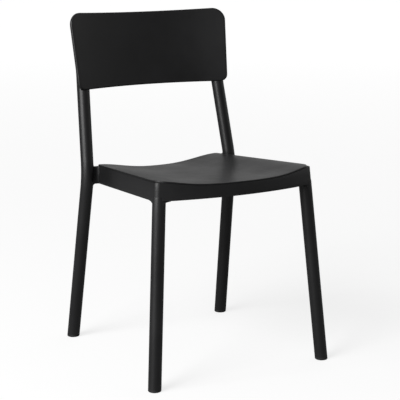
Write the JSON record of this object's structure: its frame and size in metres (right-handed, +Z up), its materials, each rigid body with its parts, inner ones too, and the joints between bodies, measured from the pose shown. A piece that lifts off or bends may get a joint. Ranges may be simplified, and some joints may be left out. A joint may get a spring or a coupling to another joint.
{
  "type": "stacking chair",
  "caption": "Armless moulded plastic stacking chair with a dished seat, bowed apron, splayed round legs and a curved back panel lapped onto raked posts.",
  "frame": {"origin": "middle of the floor plan, on the floor under the four feet", "axes": "+Z up, the sitter faces -Y, the sitter's left is +X; the chair is the same on both sides of X = 0"},
  "size_m": [0.4656, 0.4912, 0.7835],
  "materials": {
    "black_shell": "black polypropylene with a fine moulded texture",
    "black_frame": "black glass-filled polypropylene, satin",
    "foot_glide": "soft black plastic, dull",
    "cap_plastic": "black plastic, satin",
    "bolt_steel": "zinc-plated steel",
    "insert_brass": "knurled brass, plain"
  },
  "bodies": {
    "root": {"seat_panel": "black_shell", "seat_frame": "black_shell", "back_panel": "black_shell", "front_leg_left": "black_frame", "front_leg_right": "black_frame", "rear_leg_left": "black_frame", "rear_leg_right": "black_frame", "front_glide_left": "foot_glide", "front_glide_right": "foot_glide", "rear_glide_left": "foot_glide", "rear_glide_right": "foot_glide", "front_leg_bolts": "bolt_steel", "rear_leg_bolts": "bolt_steel", "back_screws": "bolt_steel", "seat_screws": "bolt_steel", "front_leg_inserts": "insert_brass", "rear_leg_inserts": "insert_brass", "back_inserts": "insert_brass", "back_screw_caps": "cap_plastic"}
  },
  "joints": []
}
